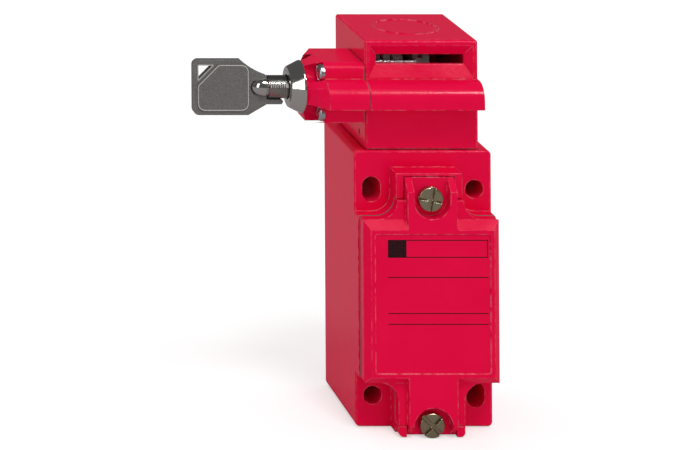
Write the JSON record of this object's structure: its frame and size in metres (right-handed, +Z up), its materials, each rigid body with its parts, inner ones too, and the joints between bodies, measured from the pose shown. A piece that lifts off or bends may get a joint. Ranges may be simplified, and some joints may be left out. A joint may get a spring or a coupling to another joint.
{
  "type": "tongue interlock switch",
  "caption": "Tall cast enclosure with a screwed front cover and a square head with a tongue slot; a round key lock stands out to one side.",
  "frame": {"origin": "middle of the four fixing holes, on the flat mounting face at the back", "axes": "+X to the right seen from the front, +Y from the front into the wall it is mounted on, +Z up"},
  "size_m": [0.0855, 0.044, 0.113],
  "materials": {
    "red_enamel": "glossy bright red enamel on die-cast zinc",
    "gasket_rubber": "matt grey sealing rubber",
    "passivated_steel": "yellow-passivated zinc plate",
    "bright_steel": "bright zinc plate",
    "polished_chrome": "polished chrome plate",
    "key_grip": "fine-grained dark grey moulding",
    "grey_polymer": "grey engineering plastic",
    "black_moulding": "black moulded plastic",
    "contact_brass": "rolled brass strip with silver pads",
    "spring_steel": "drawn spring wire"
  },
  "bodies": {
    "switch": {"barrel_circlip": "bright_steel", "block_screws": "passivated_steel", "body_casting": "red_enamel", "contact_block": "black_moulding", "contact_block_cover": "black_moulding", "cover_gasket": "gasket_rubber", "cover_screws": "passivated_steel", "earth_screw": "passivated_steel", "fixed_contact_left_1": "contact_brass", "fixed_contact_left_2": "contact_brass", "fixed_contact_left_3": "contact_brass", "fixed_contact_right_1": "contact_brass", "fixed_contact_right_2": "contact_brass", "fixed_contact_right_3": "contact_brass", "front_cover": "red_enamel", "head_casting": "red_enamel", "head_gasket": "gasket_rubber", "lock_barrel": "polished_chrome", "lock_bezel": "polished_chrome", "lock_gasket": "gasket_rubber", "lock_housing": "red_enamel", "lock_screws": "bright_steel", "plunger_bush": "grey_polymer", "terminal_clamps": "passivated_steel", "terminal_screws": "passivated_steel", "tongue_guide": "bright_steel", "turret_pins": "bright_steel"},
    "rotor": {"lock_rotor": "polished_chrome"},
    "key": {"key_tube": "polished_chrome", "key_bow": "key_grip"},
    "bolt": {"locking_bolt": "bright_steel"},
    "cam": {"cam_axle": "bright_steel", "cam_disc_1": "grey_polymer", "cam_disc_2": "grey_polymer", "cam_disc_3": "grey_polymer", "cam_disc_4": "grey_polymer", "cam_disc_5": "grey_polymer"},
    "contact_slide": {"plunger": "grey_polymer", "contact_carrier": "grey_polymer", "return_spring": "spring_steel", "contact_bridge_1": "contact_brass", "contact_bridge_2": "contact_brass", "contact_bridge_3": "contact_brass", "contact_spring_1": "spring_steel", "contact_spring_2": "spring_steel", "contact_spring_3": "spring_steel"}
  },
  "joints": [
    {"name": "key_turn", "type": "hinge", "parent": "switch", "child": "rotor", "pos_m": [-0.03, -0.0265, 0.05795], "axis": [1, 0, 0], "range_deg": [0, 90]},
    {"name": "key_pull", "type": "slide", "parent": "rotor", "child": "key", "axis": [-1, 0, 0], "range_m": [0, 0.01]},
    {"name": "bolt_slide", "type": "slide", "parent": "switch", "child": "bolt", "axis": [1, 0, 0], "range_m": [0, 0.00241]},
    {"name": "cam_turn", "type": "hinge", "parent": "switch", "child": "cam", "pos_m": [0, -0.0195, 0.05795], "axis": [-1, 0, 0], "range_deg": [0, 40]},
    {"name": "plunger_slide", "type": "slide", "parent": "switch", "child": "contact_slide", "axis": [0, 0, 1], "range_m": [0, 0.00281], "deforming": ["return_spring"]}
  ],
  "couplings": [
    {"joint": "bolt_slide", "follows": "key_turn", "m_per_rad": 0.0015279},
    {"joint": "plunger_slide", "follows": "cam_turn", "m_per_rad": 0.0040107}
  ]
}
